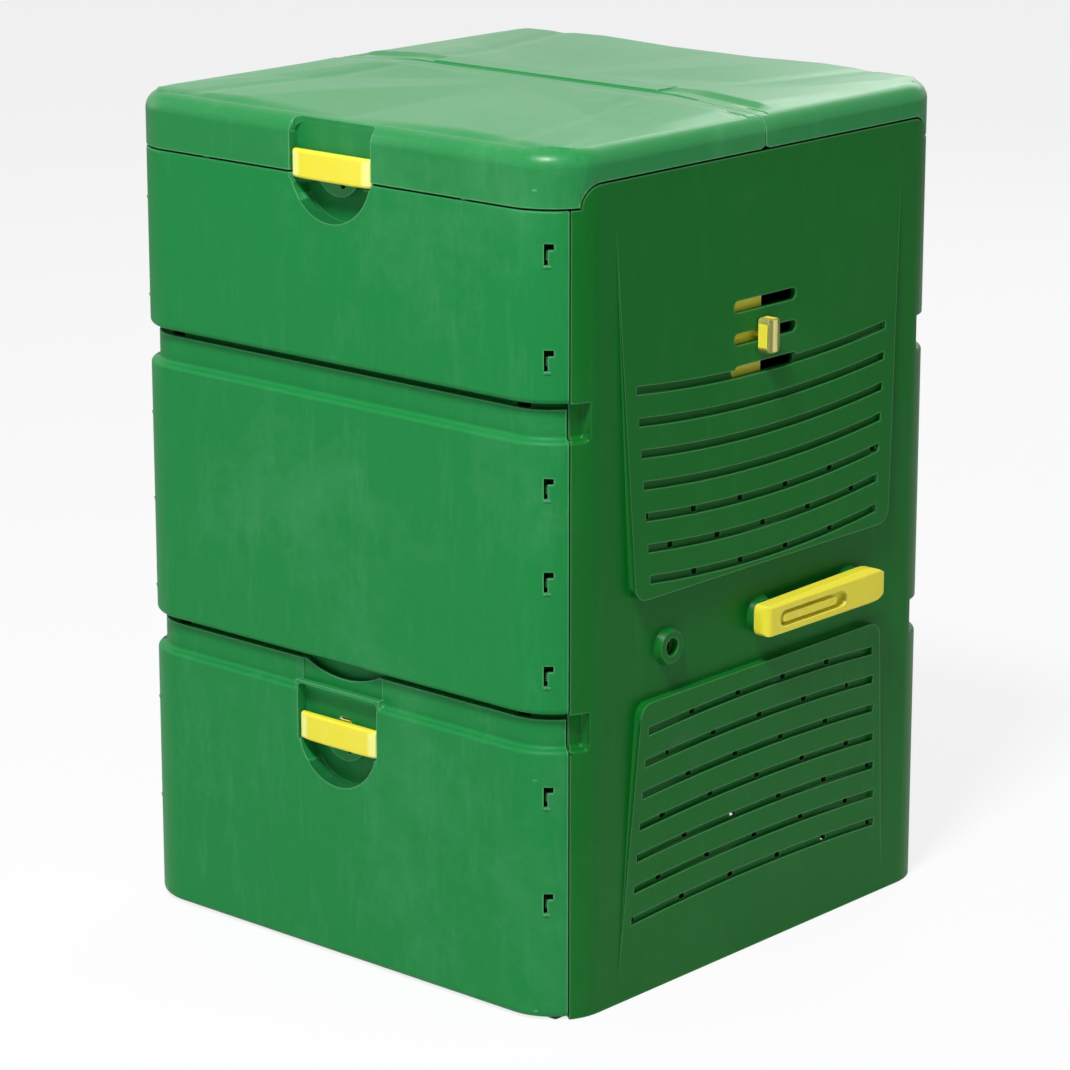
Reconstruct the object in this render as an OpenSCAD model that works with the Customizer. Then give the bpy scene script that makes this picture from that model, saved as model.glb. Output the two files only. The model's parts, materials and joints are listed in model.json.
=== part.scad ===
// Garden compost bin with two lids, two swing-down flaps, side vents and a turning grate.
// Origin at the middle of the ground; the front faces -Y and the lever side wall is at +X.

/* [Body] */
// Overall width over the two side walls
body_w = 780; // [720:10:860]
// Overall depth over the front and rear panels
body_d = 810; // [770:10:900]
// Height of the side walls
side_h = 1091; // [1080:1:1140]
// Radius of the four upright corners
corner_r = 80; // [70:5:90]
// Angle of the corner seam from the face of the side wall
seam_deg = 33; // [28:1:40]
// Open width of the seams between wall and panels
seam_gap = 2; // [1.5:0.1:2.5]
// Thickness of the moulded walls
wall_t = 5; // [4:0.5:6]

/* [Tiers] */
// Height of the flap face above the ground
flap_h = 359; // [330:1:365]
// Height of the middle panel face
middle_h = 351; // [345:1:370]
// Height of the groove between two tiers
groove_h = 54; // [50:1:60]
// Depth of the groove
groove_in = 12; // [10:0.5:13]
// Dark gap left under each upper panel
groove_gap = 9; // [6:0.5:12]
// Rise of the side walls over the top edge of the upper panels
shoulder_h = 29; // [24:1:34]

/* [Lid] */
// Open width of the joint under the lids
lid_gap = 3; // [2.5:0.1:4]
// Height of the lid rim above the top of the front panel
lid_rise = 75; // [72:1:80]
// Rounding along the top edge of the lid
lid_edge_r = 24; // [18:1:28]
// Crown of the lid above its rim
lid_crown = 10; // [8:1:12]
// Thickness of the lid shell
lid_t = 4; // [3:0.5:5]
// Width of the joint between the two lids
lid_joint = 3; // [2.6:0.2:4]
// Rise of the folds pressed into the lid
fold_rise = 4; // [2:0.5:5]

/* [Hinges] */
// Radius of the lid hinge rods
rod_r = 2.5; // [2:0.5:3]
// Radius of the hinge eyes
eye_r = 5.5; // [5:0.1:5.6]
// Distance of each lid hinge rod from the middle of the bin
rod_y = 20; // [18:0.5:24]
// Depth of the lid hinge rods under the crown of the lid
rod_below = 10.8; // [10.7:0.1:11.2]
// Distance of the flap pins from the front face and from the bottom edge of the flap
flap_pin_in = 10; // [9:0.5:12]
// Radius of the flap pins
flap_pin_r = 2.5; // [2:0.5:3]
// Height of the flap's bottom edge over the ground
flap_lift = 2; // [1:0.5:4]

/* [Latches] */
// Width of the latch bar
latch_w = 143; // [130:1:160]
// Height of the latch bar
latch_h = 38; // [34:1:44]
// Radius of the round finger recess
recess_r = 72; // [68:1:76]
// Depth of the finger recess
recess_deep = 26; // [22:1:30]
// Depth of the pocket that holds the latch bar
pocket_deep = 16; // [15:1:18]
// Radius of the latch pins
latch_pin_r = 2; // [1.5:0.5:2.5]

/* [Side panel] */
// How far the raised panels stand out at the waist
raise = 12; // [8:1:14]
// Number of arched grooves in each raised panel
groove_rows = 7; // [5:1:7]
// Height of an arched groove
slit_h = 11; // [8:1:12]
// Depth of an arched groove
slit_deep = 6; // [4:0.5:7]
// Spacing of the air holes along a groove
hole_step = 96; // [80:1:100]
// Side of a square air hole
hole_w = 8; // [5:0.5:9]
// Height of the raised panel edges at the waist, lower and upper
waist_z = [404, 543];
// Height of the grate shafts and of the lever
shaft_z = 468; // [460:1:480]

/* [Vent] */
// Height of the middle vent slot
vent_z = 851; // [845:1:860]
// Spacing of the vent slots
vent_step = 43; // [38:1:46]
// Length of a vent slot
vent_len = 130; // [110:2:140]
// Height of a vent slot
vent_slot_h = 16; // [12:1:18]
// Thickness of the sliding vent plate
vent_plate_t = 3; // [2:0.5:4]

/* [Grate] */
// Spacing of the grate shafts
slat_pitch = 192; // [184:1:200]
// Gap between neighbouring slats
slat_gap = 6; // [4:1:10]
// Radius of the shafts
shaft_r = 12; // [10:0.5:14]
// Length of the cranks that carry the link bar
crank_r = 50; // [46:1:56]
// Thickness of the slats
slat_t = 4; // [3:0.5:5]

/* [Lever] */
// Reach of the lever behind its shaft
lever_reach = 234; // [200:1:250]
// Part of the lever in front of its shaft
lever_tail = 42; // [34:1:50]
// Thickness of the lever
lever_t = 22; // [18:1:24]

/* [Hidden] */
$fn = 64;
eps = 0.5;
big = 2000;
clear = 0.3;
fit = 0.05;
green = [0.13, 0.52, 0.26];
deep_green = [0.10, 0.38, 0.14];
yellow = [0.98, 0.93, 0.25];
steel = [0.7, 0.72, 0.74];

half_w = body_w / 2;
half_d = body_d / 2;
run_x = half_w - corner_r;
run_y = half_d - corner_r;
middle_z = flap_h + groove_h;
middle_top = middle_z + middle_h;
top_z = middle_top + groove_h;
edge_r = 8;
panel_top = side_h - shoulder_h;
step_r = groove_in / 2;
neck_flange = 20;
curtain_in = 24;
seam_off = asin(seam_gap / 2 / corner_r);

// Points of an arc round [x, y] from angle a to angle b
function arc(x, y, r, a, b, n = 6) =
  [for (i = [0:n]) [x + r * cos(a + (b - a) * i / n), y + r * sin(a + (b - a) * i / n)]];

// Turns a shape to the rear of the bin, or to its left side
module to_rear() { rotate([0, 0, 180]) children(); }

// Stands a drawing of inset and height along the front, then round both corners
module sweep_front(deg, half_run = run_x) {
  translate([-half_run, -half_d, 0]) rotate([90, 0, 90]) linear_extrude(2 * half_run) children();
  if (deg > 0) {
    for (s = [0, 1]) mirror([s, 0, 0]) translate([run_x, -run_y, 0]) rotate([0, 0, -90])
      sweep_corner(deg) children();
  }
}
module sweep_corner(deg) {
  rotate_extrude(angle = deg, $fn = 96) translate([corner_r, 0]) mirror([1, 0]) children();
}
// Extrudes a drawing of y and z along x, from x0 to x1
module along_x(x0, x1) {
  translate([x0, 0, 0]) rotate([90, 0, 90]) linear_extrude(x1 - x0) children();
}
// Extrudes a drawing of x and z inwards from the front face, from inset a to inset b
module into_front(a, b) {
  translate([0, b - half_d, 0]) rotate([90, 0, 0]) linear_extrude(b - a) children();
}
module rod_x(x0, x1, r) { translate([x0, 0, 0]) rotate([0, 90, 0]) cylinder(r = r, h = x1 - x0); }
module slot_shape(len, h) {
  square([len - h, h], center = true);
  for (s = [-1, 1]) translate([s * (len - h) / 2, 0]) circle(d = h);
}

// Sections of the front panels, drawn as inset and height
module tier_section(z0, z1) {
  zn = z1 + groove_h - groove_gap;
  polygon(concat(
    [[14, z0]], arc(edge_r, z0 + edge_r, edge_r, 270, 180),
    arc(step_r, z1, step_r, 180, 90), arc(step_r, z1 + groove_in, step_r, 270, 360),
    [[groove_in, zn], [neck_flange, zn], [neck_flange, zn - 4], [groove_in + wall_t, zn - 4],
     [groove_in + wall_t, z1 + 10], [groove_in, z1 + 2], [wall_t, z1 - 6]],
    arc(edge_r, z0 + edge_r, edge_r - wall_t, 180, 270), [[14, z0 + wall_t]]));
}
module flap_section() {
  z1 = flap_h;
  zn = z1 + groove_h - groove_gap;
  pz = flap_lift + flap_pin_in;
  polygon(concat(
    arc(flap_pin_in, pz, flap_pin_in, 270, 180),
    arc(step_r, z1, step_r, 180, 90), arc(step_r, z1 + groove_in, step_r, 270, 360),
    [[groove_in, zn], [neck_flange, zn], [neck_flange, zn - 4], [groove_in + wall_t, zn - 4],
     [groove_in + wall_t, z1 + 10], [groove_in, z1 + 2], [wall_t, z1 - 6]],
    arc(flap_pin_in, pz, flap_pin_in - wall_t, 180, 270)));
}
module top_section(z0, z1) {
  polygon(concat(
    [[14, z0]], arc(edge_r, z0 + edge_r, edge_r, 270, 180),
    [[0, z1 - 2], [2, z1], [16, z1], [16, z1 - 4], [wall_t, z1 - 4]],
    arc(edge_r, z0 + edge_r, edge_r - wall_t, 180, 270), [[14, z0 + wall_t]]));
}
// Weather curtain that hangs behind the neck of the panel below
module curtain_section(z0) {
  polygon([[13, z0], [curtain_in, z0], [curtain_in, z0 - 18], [curtain_in + 4, z0 - 18],
    [curtain_in + 4, z0 + wall_t], [13, z0 + wall_t]]);
}

// L-shaped slots that free the snap tabs on the corner bands
tab_deg = 52;
tab_w = 12.6;
tab_h = 27;
module tab_slots(heights) {
  for (s = [-1, 1], z = heights)
    translate([s * run_x, -run_y, z]) rotate([0, 0, -90 + s * (90 - tab_deg)])
      translate([corner_r - wall_t - 3, 0, 0]) {
        translate([0, -tab_w / 2, tab_h / 2 - 8]) cube([20, tab_w, 8]);
        translate([0, -tab_w / 2, -tab_h / 2]) cube([20, 5, tab_h]);
      }
}

// Round recess for the fingers, with its cup behind the face, and the latch pocket over it
module recess_cut(z, z_top) {
  into_front(-eps, recess_deep) intersection() {
    union() {
      translate([0, z]) circle(r = recess_r);
      translate([-pocket_w / 2, z - latch_h / 2 - 1]) square([pocket_w, latch_h]);
    }
    translate([-half_w, z - recess_r - 1]) square([body_w, z_top - z + recess_r + 1]);
  }
}
module recess_cup(z, z_top) {
  intersection() {
    into_front(1, recess_deep + 4) translate([0, z]) circle(r = recess_r + 4);
    translate([-big / 2, -half_d, z - big]) cube([big, 100, z_top - z + big]);
  }
}
tongue_r = 40;
latch_gap = 1.2;
pocket_w = latch_w + 2 * latch_gap;
latch_pin_in = 9;
latch_pin_drop = 6;
module pocket_block(z0, z1) {
  into_front(1, pocket_deep + 4) translate([-pocket_w / 2 - 4, z0]) square([pocket_w + 8, z1 - z0]);
}
module pocket_cut(z0, z1, corner) {
  into_front(-eps, pocket_deep) {
    translate([-pocket_w / 2, z0]) square([pocket_w, z1 - corner - z0]);
    translate([-pocket_w / 2 + corner, z1 - corner - eps]) square([pocket_w - 2 * corner, corner + eps]);
    for (s = [-1, 1]) translate([s * (pocket_w / 2 - corner), z1 - corner]) circle(r = corner);
  }
}
module tongue(z) {
  difference() {
    into_front(pocket_deep, pocket_deep + 4) difference() {
      translate([0, z]) circle(r = tongue_r);
      translate([-tongue_r, z]) square(2 * tongue_r);
    }
    into_front(pocket_deep - 1, pocket_deep + 5) translate([8, z - 24]) circle(r = 5);
  }
}

// Catch arm opening through the pocket's back wall
arm_w = 20;
module arm_slot(z0, z1) {
  into_front(pocket_deep - 1, recess_deep + wall_t) translate([-arm_w / 2 - 2, z0]) square([arm_w + 4, z1 - z0]);
}

module front_panel_top() {
  z = lid_latch_z;
  color(green) difference() {
    union() {
      sweep_front(90 - seam_deg - seam_off) top_section(top_z, panel_top);
      sweep_front(0, run_x - 10) curtain_section(top_z);
      recess_cup(z, panel_top);
    }
    recess_cut(z, panel_top + 20);
    tab_slots([top_z + 56, panel_top - 54]);
  }
  color(green) keepers();
}
module panel_middle() {
  color(green) difference() {
    union() {
      sweep_front(90 - seam_deg - seam_off) tier_section(middle_z, middle_top);
      sweep_front(0, run_x - 10) curtain_section(middle_z);
    }
    tab_slots([middle_z + 52, middle_z + middle_h / 2, middle_top - 54]);
    flap_catch_arch();
  }
}
// Shallow arch over the flap latch, where its catch arm comes up
arch_w = 130;
arch_rise = 4;
module flap_catch_arch() {
  r = (arch_w * arch_w / 4 + arch_rise * arch_rise) / (2 * arch_rise);
  into_front(-1, curtain_in + 6) intersection() {
    translate([0, middle_z + arch_rise - r]) circle(r = r, $fn = 360);
    translate([-arch_w / 2 - 9, middle_z - 1]) square([arch_w + 18, arch_rise + 1]);
  }
  into_front(14.5, curtain_in + 6) translate([-arch_w / 2, middle_z - 30]) square([arch_w, 36]);
}

// Latches: the same bar on lid and flap, with the catch arm going down or up
flap_latch_z = flap_h - 46;
lid_latch_z = panel_top + 13;
latch_bar_top = latch_h / 2;
latch_pin_up = latch_h / 2 - latch_pin_drop;
module latch_bar(z) {
  bulge_r = 900;
  translate([0, 0, z]) intersection() {
    along_x(-latch_w / 2, latch_w / 2) translate([-half_d, 0]) polygon(concat(
      [[12, -latch_h / 2 + 2]], arc(3, -latch_h / 2 + 4, 4, 270, 180), arc(5, latch_h / 2 - 6, 6, 180, 90),
      [[12, latch_h / 2]]));
    translate([0, bulge_r - half_d - 1, -latch_h]) cylinder(r = bulge_r, h = 2 * latch_h, $fn = 720);
  }
}
arm_in = pocket_deep + 4.5;
module latch_arm(z, reach) {
  zp = z + latch_pin_up;
  translate([-arm_w / 2, 10 - half_d, zp - 5]) cube([arm_w, arm_in + 4 - 10, 9]);
  z0 = min(zp + 4, reach);
  z1 = max(zp - 5, reach);
  translate([-arm_w / 2, arm_in - half_d, z0]) cube([arm_w, 4, z1 - z0]);
}
module latch_pin_bore(z, r) {
  translate([0, latch_pin_in - half_d, z + latch_pin_up]) rod_x(-half_w, half_w, r);
}
module latch_pin(z) {
  color(steel) translate([0, latch_pin_in - half_d, z + latch_pin_up])
    rod_x(-pocket_w / 2 - 3.5, pocket_w / 2 + 3.5, latch_pin_r);
}
flap_catch_top = middle_z - clear;
module flap_latch() {
  color(yellow) difference() {
    union() {
      latch_bar(flap_latch_z);
      latch_arm(flap_latch_z, flap_catch_top);
      translate([-arm_w / 2, 14.8 - half_d, flap_catch_top - 5]) cube([arm_w, arm_in - 10, 5]);
    }
    latch_pin_bore(flap_latch_z, latch_pin_r + fit);
  }
}
// Noses behind the lid latch bar, just clear of the keepers in the panel's recess
nose_x = [50, 64];
nose_h = 6;
module lid_latch_noses() {
  for (s = [-1, 1]) translate([s > 0 ? nose_x[0] : -nose_x[1], 11 - half_d, lid_latch_z - latch_h / 2 + 1])
    cube([nose_x[1] - nose_x[0], 2.2, nose_h]);
}
module keepers() {
  for (s = [-1, 1]) translate([s > 0 ? nose_x[0] - 2 : -half_w, 0, 0]) intersection() {
    into_front(13.6, recess_deep + 1)
      translate([0, lid_latch_z - latch_h / 2 - 6]) square([half_w - nose_x[0] + 2, 6]);
    translate([s > 0 ? 2 - nose_x[0] : half_w, 0, 0])
      into_front(0, recess_deep + 2) translate([0, lid_latch_z]) circle(r = recess_r + 2);
  }
}
module lid_latch() {
  color(yellow) difference() {
    union() {
      latch_bar(lid_latch_z);
      lid_latch_noses();
    }
    latch_pin_bore(lid_latch_z, latch_pin_r + fit);
  }
}

// Flap with its neck, finger recess, latch pocket and hinge cheeks
flap_pin_z = flap_lift + flap_pin_in;
lug_x = [run_x - 16, run_x - 2];
cheek_t = 5;
module flap() {
  z = flap_latch_z;
  pocket_top = flap_h + groove_in + 1;
  color(green) difference() {
    union() {
      difference() {
        union() {
          sweep_front(90 - seam_deg - seam_off) flap_section();
          recess_cup(z, z + 10);
          pocket_block(z, pocket_top + 4);
        }
        recess_cut(z, z + 1);
        pocket_cut(z, pocket_top, 6);
        into_front(groove_in - 3, groove_in + 1.5) translate([-pocket_w / 2, pocket_top - 1]) square([pocket_w, 60]);
        neck_dip();
        tab_slots([160, 304]);
      }
      tongue(z + 1);
      for (s = [-1, 1], x = [lug_x[0] - clear - cheek_t, lug_x[1] + clear])
        translate([s > 0 ? x : -x - cheek_t, 0, 0]) flap_cheek();
    }
    arm_slot(z + latch_pin_up - 18, z + latch_pin_up + 8);
    latch_pin_bore(z, latch_pin_r);
    translate([0, flap_pin_in - half_d, flap_pin_z]) rod_x(-half_w, half_w, flap_pin_r + fit);
    flap_corner_relief();
  }
}
module flap_cheek() {
  along_x(0, cheek_t) translate([-half_d, 0]) {
    translate([flap_pin_in, flap_pin_z]) circle(r = 9);
    translate([2, flap_pin_z]) square([flap_pin_in + 7 - 2, 8]);
    polygon([[2, flap_pin_z], [flap_pin_in + 7, flap_pin_z + 8], [2, flap_pin_z + 40]]);
  }
}
// Dip in the neck over the latch, where the catch arm shows
module neck_dip() {
  w = 134;
  deep = 16;
  r = (w * w / 4 + deep * deep) / (2 * deep);
  top = flap_h + groove_h - groove_gap;
  into_front(groove_in - 1, neck_flange + 1) intersection() {
    translate([0, top - deep + r]) circle(r = r, $fn = 180);
    translate([-w / 2 - 4, top - deep - 1]) square([w + 8, deep + 2]);
  }
}
// Rounds the low rear corners of the flap round its pins, so that they clear the side walls
module flap_corner_relief() {
  reach = half_d - flap_pin_in - (run_y + corner_r * sin(seam_deg));
  translate([0, flap_pin_in - half_d, flap_pin_z]) difference() {
    translate([-half_w, 0, -20]) cube([body_w, 60, 20]);
    rod_x(-half_w - 1, half_w + 1, reach + 1.4);
  }
}
module flap_pins() {
  color(steel) for (s = [-1, 1])
    translate([0, flap_pin_in - half_d, flap_pin_z])
      rod_x(s > 0 ? lug_x[0] - 5 : -lug_x[1] - 5, s > 0 ? lug_x[1] + 5 : -lug_x[0] + 5, flap_pin_r);
}

// Side wall: one moulding over the full height, made for the right and turned for the left
wall_flange_in = 22;
module corner_sector(a, b, deg0, deg1, h) {
  translate([run_x, -run_y, 0]) mirror([0, 1, 0]) rotate([0, 0, -deg1])
    rotate_extrude(angle = deg1 - deg0, $fn = 96) translate([corner_r - b, 0]) square([b - a, h]);
}
module both_corners() {
  children();
  mirror([0, 1, 0]) children();
}
module wall_shell() {
  seam = -seam_deg + seam_off;
  translate([half_w - wall_t, -run_y, 0]) cube([wall_t, 2 * run_y, side_h]);
  both_corners() {
    wall_corner(seam);
    wall_shoulder(seam);
    wall_corner_frame(seam);
  }
  translate([half_w - 30, -run_y, 0]) cube([28, 2 * run_y, wall_t]);
  for (s = [-1, 1]) translate([half_w - 20, s > 0 ? beam_half + 6 : -run_y, side_h - 5])
    cube([18, run_y - beam_half - 6, 5]);
}
// Rounded corner of the wall with the two groove ends let into it
module wall_corner(seam) {
  difference() {
    union() {
      corner_sector(0, wall_t, seam, 0, panel_top);
      for (z = [flap_h, middle_top])
        translate([0, 0, z - 5]) corner_sector(1, groove_in + wall_t, seam + 2, -4, groove_h + 10);
    }
    for (z = [flap_h, middle_top]) wall_notch(z);
  }
}
// Rounded top end of the wall, over the height of the panels
module wall_shoulder(seam) {
  r = side_h - panel_top;
  intersection() {
    translate([0, 0, panel_top - 1]) corner_sector(0, wall_t, seam + 8, 0, r + 1);
    along_x(half_w - 40, half_w + 1) translate([-shoulder_y, panel_top]) circle(r = r);
  }
}
shoulder_y = run_y + 0.6;
// Web along the seam, the flange behind the panels, studs at the snap tabs and the flap's eye
module wall_corner_frame(seam) {
  difference() {
    corner_sector(4, wall_flange_in + 3, seam + 0.5, seam + 4, panel_top);
    for (z = [flap_h, middle_top])
      translate([0, 0, z + 4]) corner_sector(-1, groove_in + eps, seam - 2, seam + 6, groove_h - 4);
  }
  corner_sector(wall_flange_in, wall_flange_in + 4, -76, seam + 2, panel_top - 10);
  for (z = tab_studs) translate([run_x, -run_y, z]) rotate([0, 0, -tab_deg])
    translate([corner_r - wall_flange_in - 1, -4, -8]) cube([wall_flange_in - wall_t - 1, 8, 12]);
  flap_lug();
}
tab_studs = [160, 304, middle_z + 52, middle_z + middle_h / 2, middle_top - 54,
  top_z + 56, panel_top - 54];
// Eye that carries the flap pin, on an arm from the corner flange
module flap_lug() {
  translate([0, flap_pin_in - half_d, flap_pin_z]) difference() {
    union() {
      rod_x(lug_x[0], lug_x[1], flap_pin_in - wall_t - clear);
      translate([lug_x[0], 0, 0.5]) cube([lug_x[1] - lug_x[0], 16, 4.2]);
    }
    rod_x(0, half_w, flap_pin_r + fit);
  }
  translate([lug_x[0], 14 - half_d, flap_pin_z + 0.5]) cube([14, 12, 20]);
  translate([lug_x[0], wall_flange_in - half_d, flap_pin_z + 0.5]) cube([30, 4, 20]);
}
// Groove end that carries the shadow groove of the panels round the corner
module wall_notch(z0) {
  r = 16;
  y_end = run_y + corner_r * sin(12);
  intersection() {
    translate([run_x, -run_y, 0]) mirror([0, 1, 0]) rotate([0, 0, 3])
      rotate_extrude(angle = seam_deg - 1, $fn = 96) translate([corner_r, 0]) mirror([1, 0]) polygon(concat(
        [[-1, z0 - 1], [-0.5, z0 - 1]], arc(step_r, z0, step_r, 180, 90),
        arc(step_r, z0 + groove_in, step_r, 270, 360),
        [[groove_in, z0 + groove_h], [-1, z0 + groove_h]]));
    along_x(half_w - 40, half_w + 10) polygon(concat([[-half_d, z0 - 3], [-half_d, z0 + groove_h + 2],
      [-y_end, z0 + groove_h + 2]], arc(-y_end - r, z0 + r - 1, r, 0, -90)));
  }
}

// Raised panel on the side wall, standing out most at the waist
function half_low(z) = 288 - 32 * z / waist_z[0];
function half_high(z) = 269 + 28 * (z - waist_z[1]) / (high_top - waist_z[1]);
low_foot = 30;
high_top = side_h - 57;
module raised_outline_low() {
  r = 22;
  polygon(concat([[-half_low(low_foot), low_foot], [half_low(low_foot), low_foot]],
    arc(half_low(waist_z[0]) - r, waist_z[0] - r, r, 0, 90),
    arc(-half_low(waist_z[0]) + r, waist_z[0] - r, r, 90, 180)));
}
module raised_outline_high() {
  r = 22;
  polygon(concat([[half_high(high_top), high_top], [-half_high(high_top), high_top]],
    arc(-half_high(waist_z[1]) + r, waist_z[1] + r, r, 180, 270),
    arc(half_high(waist_z[1]) - r, waist_z[1] + r, r, 270, 360)));
}
module wedge(z_thin, z_thick) {
  translate([0, half_d, 0]) rotate([90, 0, 0]) linear_extrude(body_d)
    polygon([[half_w - 2, z_thin], [half_w, z_thin], [half_w + raise, z_thick], [half_w - 2, z_thick]]);
}
module raised_panels() {
  intersection() {
    along_x(half_w - 2, half_w + raise) raised_outline_low();
    wedge(low_foot, waist_z[0]);
  }
  intersection() {
    along_x(half_w - 2, half_w + raise) raised_outline_high();
    wedge(high_top, waist_z[1]);
  }
}
function raise_low(z) = raise * (z - low_foot) / (waist_z[0] - low_foot);
function raise_high(z) = raise * (high_top - z) / (high_top - waist_z[1]);

// One arched groove: half length, height of its ends, sag of its middle, depth from the face
module arched_groove(half_len, z_end, sag, x_floor) {
  r = (half_len * half_len + sag * sag) / (2 * abs(sag));
  zc = sag > 0 ? z_end - sag + r : z_end - sag - r;
  along_x(x_floor, half_w + raise + 1) intersection() {
    translate([0, zc]) difference() {
      circle(r = sag > 0 ? r : r + slit_h, $fn = 720);
      circle(r = sag > 0 ? r - slit_h : r, $fn = 720);
    }
    translate([-half_len, z_end - 30]) square([2 * half_len, 60]);
  }
}
// Height of an arched line at a distance y from its middle
function arch_z(half_len, z_end, sag, y) =
  let (r = (half_len * half_len + sag * sag) / (2 * abs(sag)))
  sag > 0 ? z_end - sag + r - sqrt(r * r - y * y) : z_end - sag - r + sqrt(r * r - y * y);
module hole_row(half_len, z_end, sag, step, odd) {
  n = 3;
  for (i = [-n:n]) {
    y = (i + (odd ? 0.5 : 0)) * step;
    if (abs(y) < half_len - 4)
      translate([half_w - wall_t - 1, y - hole_w / 2, arch_z(half_len, z_end, sag, y) + 1])
        cube([wall_t + raise + 3, hole_w, hole_w]);
  }
}
high_row_z = 563;
high_row_step = 41.8;
high_sag = 14;
low_row_z = 103;
low_row_step = 42.7;
low_sag = -8;
module wall_grooves() {
  for (k = [0:groove_rows - 1]) {
    half_len = 239 + 3.7 * k;
    z = high_row_z + high_row_step * k;
    arched_groove(half_len, z, high_sag, half_w + raise_high(z) - slit_deep);
    if (k < 3) hole_row(half_len, z, high_sag, hole_step, k % 2 == 0);
  }
  for (k = [0:groove_rows - 1]) {
    half_len = 262 - 3.5 * k;
    z = low_row_z + low_row_step * k;
    arched_groove(half_len, z, low_sag, half_w + max(raise_low(z) - slit_deep, -2.5));
    hole_row(half_len, z, low_sag, hole_step + 6 - k, k % 2 == 0);
  }
}
boss_r = 22;
boss_out = 10;
vent_rail = 4;
plate_x = half_w - wall_t - clear - vent_plate_t;
module shaft_bosses() {
  for (k = [-1:1]) translate([half_w - 2, k * slat_pitch, shaft_z])
    rotate([0, 90, 0]) cylinder(r1 = boss_r + 5, r2 = boss_r, h = boss_out + 2);
}
beam_half = 30;
beam_h = 40;
rod_z = panel_top + lid_rise + lid_crown - rod_below;
beam_top = rod_z - 21.5;
// Socket for the end of the ridge beam
module beam_socket() {
  translate([half_w - 20, -beam_half - 4, beam_top - beam_h - 4.3]) difference() {
    cube([20 - wall_t, 2 * beam_half + 8, beam_h + 2]);
    translate([-1, 4 - clear, 4]) cube([22, 2 * beam_half + 2 * clear, beam_h + 4]);
  }
}
// Rails that guide the vent plate on the inside of the wall
module vent_rails() {
  plate_h = 2 * vent_step + vent_slot_h + 16;
  for (s = [-1, 1]) translate([half_w - wall_t - vent_plate_t - 2 * clear - 2, -vent_len - 12,
      vent_z + s * (plate_h / 2 + clear + vent_rail / 2) - vent_rail / 2]) {
    cube([vent_plate_t + 2 * clear + 3, 2 * vent_len + 24, vent_rail]);
    translate([0, 0, -s * 4]) cube([2, 2 * vent_len + 24, vent_rail]);
  }
}
module side_wall() {
  color(deep_green) difference() {
    union() {
      wall_shell();
      raised_panels();
      shaft_bosses();
      beam_socket();
      vent_rails();
    }
    wall_grooves();
    for (k = [-1:1]) along_x(half_w - wall_t - 1, half_w + vent_step)
      translate([0, vent_z + k * vent_step]) slot_shape(vent_len, vent_slot_h);
    for (k = [-1:1]) translate([0, k * slat_pitch, shaft_z]) rod_x(half_w - 30, half_w + 30, shaft_r + fit);
  }
}

// Sliding vent plate and the knob that moves it
vent_edge = 2;
knob_stem = 6;
module vent_plate() {
  h = 2 * vent_step + vent_slot_h + 16;
  stem_y = vent_edge - knob_stem - 2;
  color(yellow) difference() {
    union() {
      translate([plate_x, vent_edge - vent_len - 6, vent_z - h / 2]) cube([vent_plate_t, vent_len + 6, h]);
      translate([0, stem_y, vent_z]) rod_x(plate_x, half_w + raise_high(vent_z) + 1, knob_stem);
    }
    translate([0, stem_y, vent_z]) rod_x(plate_x + vent_plate_t, half_w + 30, 3);
  }
}
module vent_knob() {
  w = 24;
  h = 46;
  x0 = half_w + raise_high(vent_z) + 1;
  stem_y = vent_edge - knob_stem - 2;
  color(yellow) {
    intersection() {
      translate([0, stem_y, vent_z]) along_x(x0, x0 + 20) {
        square([w, h - 12], center = true);
        square([w - 12, h], center = true);
        for (a = [-1, 1], b = [-1, 1]) translate([a * (w / 2 - 6), b * (h / 2 - 6)]) circle(r = 6);
      }
      translate([x0 - 30 + 20, stem_y, vent_z - h]) cylinder(r = 30, h = 2 * h, $fn = 120);
    }
    translate([0, stem_y, vent_z]) rod_x(x0 - 8, x0 + 1, 3 - fit);
  }
}

lever_pin_x = half_w - 8;
// Turning grate: three slats on shafts across the bin, joined by one link bar
slat_half = half_w - wall_t - 17;
crank_x = slat_half + 2;
crank_t = 4;
bar_t = 5;
pin_y = crank_r * cos(45);
module slat() {
  w = slat_pitch - slat_gap;
  color(deep_green) translate([0, 0, shaft_z]) difference() {
    union() {
      translate([-slat_half, -w / 2, -slat_t / 2]) cube([2 * slat_half, w, slat_t]);
      for (y = [-w / 2, -w / 4 - 2, w / 4 - 2, w / 2 - 4])
        translate([-slat_half, y, -12]) cube([2 * slat_half, 4, 12]);
      rod_x(-half_w + 1, half_w - 1, shaft_r);
      rotate([-45, 0, 0]) {
        translate([crank_x, 0, -crank_t - 3]) cube([crank_t, crank_r, 2 * crank_t + 6]);
        translate([0, crank_r, 0]) rod_x(crank_x, crank_x + crank_t, 10);
        translate([0, crank_r, 0]) rod_x(crank_x, crank_x + crank_t + bar_t + 2, 4);
      }
    }
    rod_x(-half_w, -half_w + 60, 8);
    rod_x(half_w - 60, half_w, 8);
    translate([lever_pin_x, 0, -20]) cylinder(r = 2.5, h = 40);
    for (i = [-4:4], s = [-1, 1], k = [-1, 1])
      translate([i * 78, s * (w / 4 + k * w / 8 + s * 1), -slat_t])
        linear_extrude(2 * slat_t) slot_shape(52, 9);
  }
}
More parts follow.
